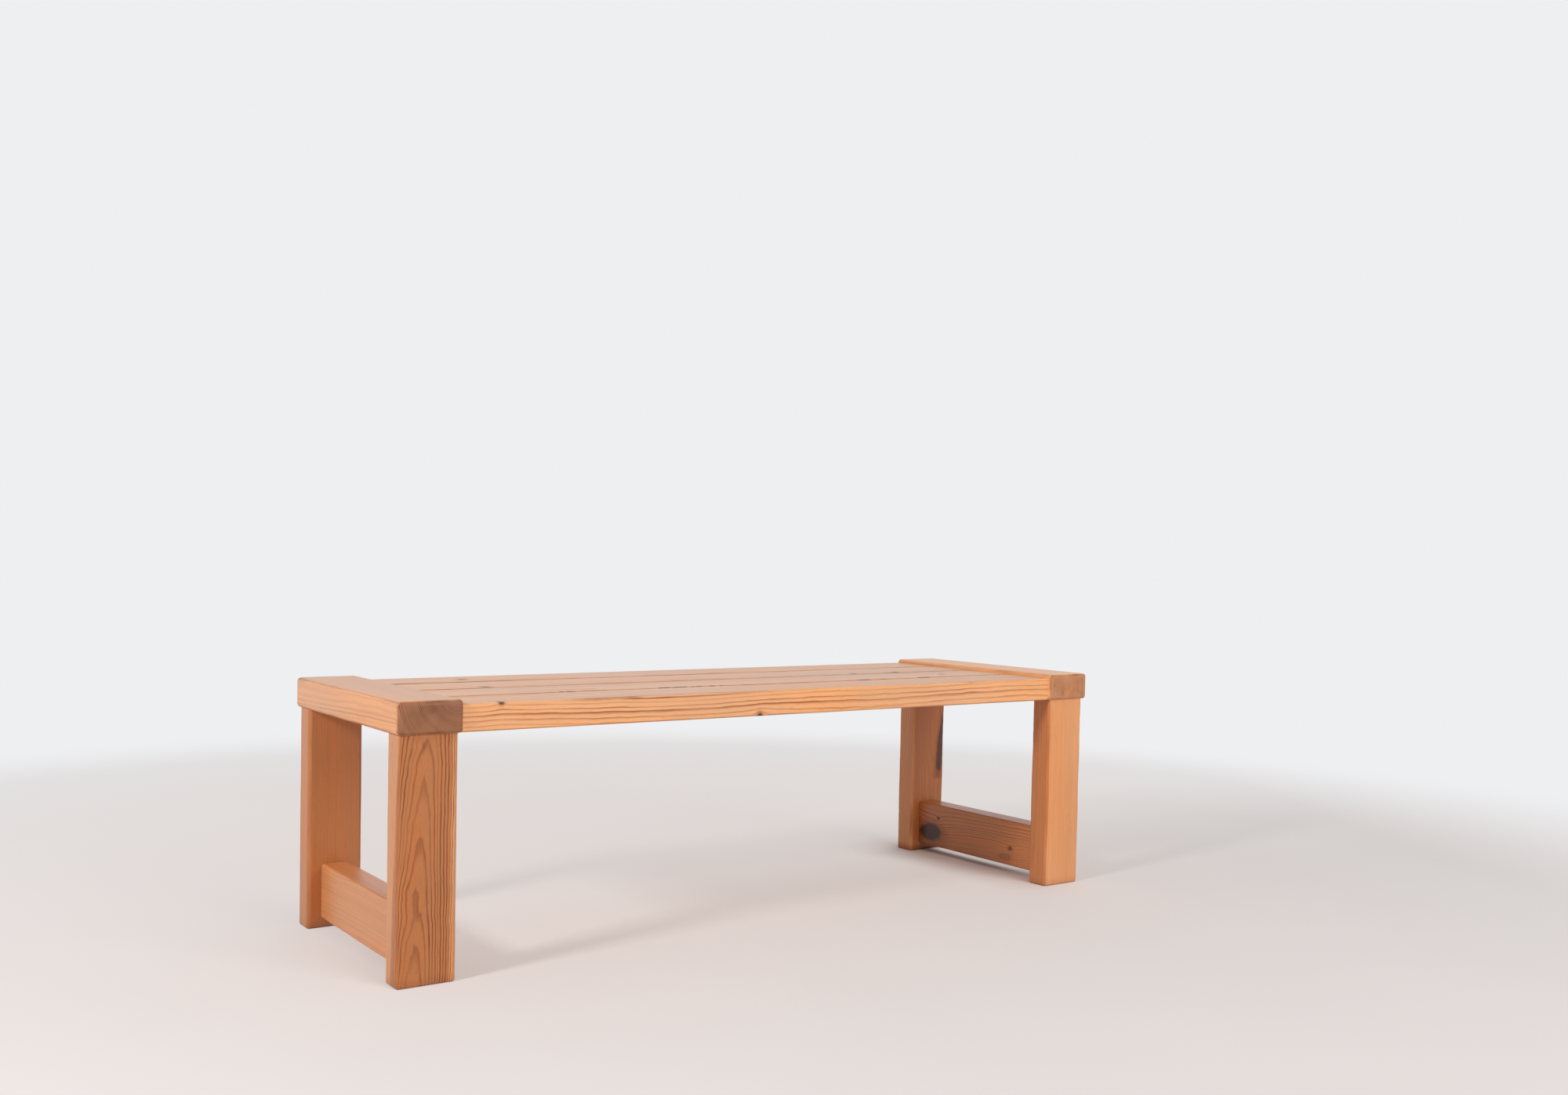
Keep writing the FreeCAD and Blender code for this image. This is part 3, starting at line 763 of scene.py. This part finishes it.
def beech_material():
    """Turned beech with fine flecks."""
    material, wire = new_material("Turned Beech")
    place = wire.tree.nodes.new("ShaderNodeTexCoord").outputs["Object"]
    fleck = wire.ramp(wire.noise(wire.scaled(place, 900.0), 2.0, 0.6), 0.55, 0.75)
    cloud = wire.noise(wire.scaled(place, 60.0))
    wood = tuple(bpy.context.scene.pine_finish.dowel_wood)
    colour = wire.scaled(wood, wire.ramp(cloud, 0.3, 0.7, 0.85, 1.1))
    colour = wire.mix(wire.math("MULTIPLY", fleck, 0.4), colour, wire.scaled(colour, 0.6))
    wire.show(wire.node("ShaderNodeBsdfPrincipled", {
        "Base Color": colour, "Roughness": wire.ramp(fleck, 0.0, 1.0, 0.55, 0.7)}))
    return material


def make_timber(node, run, edge, start, end):
    """Timber in the place of its solid, with its own wood."""
    sizes = bpy.context.scene.pine_bench
    low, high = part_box(node)
    middle = (low + high) / 2
    extent = RUNS[run] @ (high - low)
    seed = 1.0 + list(BOARDS).index(node)
    name = f"pine_{node}"
    blank = bpy.data.meshes.new(name)
    piece = bpy.data.objects.new(name, blank)
    bpy.context.scene.collection.objects.link(piece)
    modifier = piece.modifiers.new("Timber", "NODES")
    modifier.node_group = timber_tree()
    values = {
        "Width": extent.x, "Thickness": extent.y, "Length": extent.z,
        "Edge Radius": edge, "Start Radius": start, "End Radius": end,
        "Step": sizes.step, "Wear": sizes.wear, "Seed": seed,
        "Place": middle, "Turn": RUNS[run].transposed().to_euler(),
        "Material": pine_material(node, run, seed),
    }
    for socket in modifier.node_group.interface.items_tree:
        if socket.in_out == "INPUT":
            value = values[socket.name]
            modifier[socket.identifier] = list(value) if socket.name in {"Place", "Turn"} else value
    even = piece.modifiers.new("Even Normals", "WEIGHTED_NORMAL")
    even.keep_sharp = True
    depsgraph = bpy.context.evaluated_depsgraph_get()
    wood = bpy.data.meshes.new_from_object(
        piece.evaluated_get(depsgraph), preserve_all_data_layers=True, depsgraph=depsgraph)
    if not wood.polygons:
        raise RuntimeError(f"{node} has no faces")
    piece.modifiers.clear()
    piece.data = wood
    bpy.data.meshes.remove(blank)
    wood.name = name
    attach(piece, "root")
    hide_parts(node)


def seen_by_eye(wire):
    """One for rays that come straight from the camera or by way of a mirror or glass."""
    path = wire.tree.nodes.new("ShaderNodeLightPath").outputs
    seen = wire.math("MAXIMUM", path["Is Camera Ray"], path["Is Glossy Ray"])
    return wire.math("MAXIMUM", seen, path["Is Transmission Ray"])


def floor_bounce(wire, place):
    """Share of the floor that glows to the eye with the backdrop's brightness: painted light
    that keeps the shadows faint, most of all behind the bench."""
    spot = wire.parts(place)
    bounce = wire.ramp(spot[1], -0.5, 0.7, 0.28, 0.74)
    # Under the seat the glow fades on the floor close to the left of a timber: painted contact shade, from
    # a tilted occlusion test.
    under_seat = wire.ramp(spot[0], -0.65, -0.55)
    rightward = wire.joined(0.7, 0.0, 0.7)
    clear = wire.node("ShaderNodeAmbientOcclusion", {"Distance": 0.12, "Normal": rightward}, "AO",
                      samples=4)
    lost = wire.math("MULTIPLY", wire.ramp(clear, 0.95, 0.45), under_seat)
    return wire.math("MULTIPLY", bounce, wire.math("SUBTRACT", 1.0, lost))


def floor_material(look):
    """Matt floor that turns into the backdrop far from the bench; near it a share glows to the eye as
    painted light.
    """
    material, wire = new_material("Studio Floor")
    place = wire.tree.nodes.new("ShaderNodeTexCoord").outputs["Object"]
    speck = wire.noise(wire.scaled(place, 2.0), 3.0)
    colour = wire.scaled(tuple(look.floor), wire.ramp(speck, 0.3, 0.7, 0.985, 1.01))
    matt = wire.node("ShaderNodeBsdfPrincipled", {
        "Base Color": colour, "Roughness": 0.75, "Specular IOR Level": 0.2})
    far = wire.ramp(wire.vector("LENGTH", place), 1.0, 2.8)
    pale = wire.mix(far, rgba(look.floor_glow), rgba(look.backdrop))
    glow = wire.node("ShaderNodeEmission", {"Color": pale, "Strength": 1.0})
    share = wire.math("MAXIMUM", far, floor_bounce(wire, place))
    share = wire.math("MULTIPLY", share, seen_by_eye(wire))
    wire.show(wire.node("ShaderNodeMixShader", (share, matt, glow)))
    return material


def make_floor(look):
    """Large round floor under the bench."""
    reach, sides = 30.0, 96
    angles = [2 * math.pi * i / sides for i in range(sides)]
    rim = [(reach * math.cos(angle), reach * math.sin(angle), 0.0) for angle in angles]
    mesh = bpy.data.meshes.new("studio_floor")
    mesh.from_pydata(rim, [], [tuple(range(sides))])
    mesh.materials.append(floor_material(look))
    floor = bpy.data.objects.new("studio_floor", mesh)
    bpy.context.scene.collection.objects.link(floor)


def make_world(look):
    """Even light from all round; the eye sees the backdrop's own colour."""
    world = bpy.data.worlds.new("Studio World")
    bpy.context.scene.world = world
    world.use_nodes = True
    world.node_tree.nodes.clear()
    wire = Wiring(world.node_tree)
    light = wire.node("ShaderNodeBackground", {"Color": (1.0, 1.0, 1.0, 1.0), "Strength": look.sky})
    view = wire.node("ShaderNodeBackground", {"Color": rgba(look.backdrop), "Strength": 1.0})
    blend = wire.node("ShaderNodeMixShader", (seen_by_eye(wire), light, view))
    wire.show(blend, "ShaderNodeOutputWorld")


def make_lamp(name, place, aim, size, power):
    """Large square softbox that looks at the bench."""
    lamp = bpy.data.lights.new(name, "AREA")
    lamp.size = size
    lamp.energy = power
    holder = bpy.data.objects.new(name, lamp)
    holder.location = place
    holder.rotation_euler = (aim - Vector(place)).to_track_quat("-Z", "Y").to_euler()
    bpy.context.scene.collection.objects.link(holder)
    return holder


def make_camera():
    """Low view from beyond the left end, for an image of 2000 by 1397."""
    lens = bpy.data.cameras.new("Camera")
    lens.sensor_width = 36.0
    lens.lens = 33.236
    lens.shift_x = 0.01365
    lens.shift_y = 0.04145
    lens.clip_end = 200.0
    camera = bpy.data.objects.new("Camera", lens)
    place = (-1.4494, -2.1636, 0.6178)
    heading, pitch, roll = 0.6154, -0.0359, 0.0203
    turn = Matrix.Rotation(-heading, 4, "Z") @ Matrix.Rotation(math.pi / 2 + pitch, 4, "X")
    turn = turn @ Matrix.Rotation(roll, 4, "Z")
    camera.matrix_world = Matrix.Translation(place) @ turn
    bpy.context.scene.collection.objects.link(camera)
    bpy.context.scene.camera = camera


class BENCH_OT_slats(bpy.types.Operator):
    """Long seat boards, eased along their edges"""
    bl_idname = "bench.slats"
    bl_label = "Seat Slats"

    def execute(self, context):
        sizes = context.scene.pine_bench
        for node in ("slat_1", "slat_2", "slat_3", "slat_4"):
            make_timber(node, "X", sizes.slat_radius, sizes.saw_radius, sizes.saw_radius)
        return {"FINISHED"}


class BENCH_OT_caps(bpy.types.Operator):
    """End caps, rounded on every edge"""
    bl_idname = "bench.caps"
    bl_label = "End Caps"

    def execute(self, context):
        sizes = context.scene.pine_bench
        for node in ("left_cap", "right_cap"):
            make_timber(node, "Y", sizes.cap_radius, sizes.cap_radius, sizes.cap_radius)
        return {"FINISHED"}


class BENCH_OT_legs(bpy.types.Operator):
    """Legs with rounded uprights and a softened foot"""
    bl_idname = "bench.legs"
    bl_label = "Legs"

    def execute(self, context):
        sizes = context.scene.pine_bench
        for node in ("front_left_leg", "rear_left_leg", "front_right_leg", "rear_right_leg"):
            make_timber(node, "Z", sizes.leg_radius, sizes.foot_radius, sizes.saw_radius)
        return {"FINISHED"}


class BENCH_OT_stretchers(bpy.types.Operator):
    """Low cross timbers between the legs of each end"""
    bl_idname = "bench.stretchers"
    bl_label = "Stretchers"

    def execute(self, context):
        sizes = context.scene.pine_bench
        for node in ("left_stretcher", "right_stretcher"):
            make_timber(node, "Y", sizes.stretcher_radius, sizes.butt_radius, sizes.butt_radius)
        return {"FINISHED"}


class BENCH_OT_dowels(bpy.types.Operator):
    """Beech for the dowels inside the joints"""
    bl_idname = "bench.dowels"
    bl_label = "Dowels"

    def execute(self, context):
        beech = beech_material()
        for name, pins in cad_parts.items():
            if name.endswith("_dowels"):
                for holder in pins.material_slots:
                    holder.material = beech
        return {"FINISHED"}


class BENCH_OT_studio(bpy.types.Operator):
    """Plain floor, soft light and the camera"""
    bl_idname = "bench.studio"
    bl_label = "Studio"

    def execute(self, context):
        look = context.scene.pine_studio
        make_floor(look)
        make_world(look)
        aim = Vector((0.0, 0.0, 0.25))
        make_lamp("Left Softbox", (-3.4, -0.8, 1.9), aim, size=0.5, power=look.key)
        front = make_lamp("Front Softbox", (0.8, -4.9, 2.8), aim, size=3.0, power=look.fill)
        # Its mirror image would blot out the grain of the seat as seen from behind.
        front.visible_glossy = False
        make_camera()
        context.scene.view_settings.view_transform = "Standard"
        return {"FINISHED"}


STEPS = (BENCH_OT_slats, BENCH_OT_caps, BENCH_OT_legs, BENCH_OT_stretchers, BENCH_OT_dowels,
         BENCH_OT_studio)


class BENCH_PT_panel(bpy.types.Panel):
    """Steps and settings of the bench"""
    bl_idname = "BENCH_PT_panel"
    bl_label = "Pine Bench"
    bl_space_type = "VIEW_3D"
    bl_region_type = "UI"
    bl_category = "Pine Bench"

    def draw(self, context):
        layout = self.layout
        for step in STEPS:
            layout.operator(step.bl_idname)
        for group in (context.scene.pine_bench, context.scene.pine_finish, context.scene.pine_studio):
            box = layout.box()
            for name in group.__annotations__:
                box.prop(group, name)


CLASSES = (BenchSizes, PineFinish, StudioLook, *STEPS, BENCH_PT_panel)


def register():
    for item in CLASSES:
        bpy.utils.register_class(item)
    bpy.types.Scene.pine_bench = PointerProperty(type=BenchSizes)
    bpy.types.Scene.pine_finish = PointerProperty(type=PineFinish)
    bpy.types.Scene.pine_studio = PointerProperty(type=StudioLook)


def unregister():
    del bpy.types.Scene.pine_studio
    del bpy.types.Scene.pine_finish
    del bpy.types.Scene.pine_bench
    for item in reversed(CLASSES):
        bpy.utils.unregister_class(item)


def main():
    """Build the bench and its studio."""
    register()
    bpy.ops.bench.slats()
    bpy.ops.bench.caps()
    bpy.ops.bench.legs()
    bpy.ops.bench.stretchers()
    bpy.ops.bench.dowels()
    bpy.ops.bench.studio()


if __name__ == "__main__":
    main()
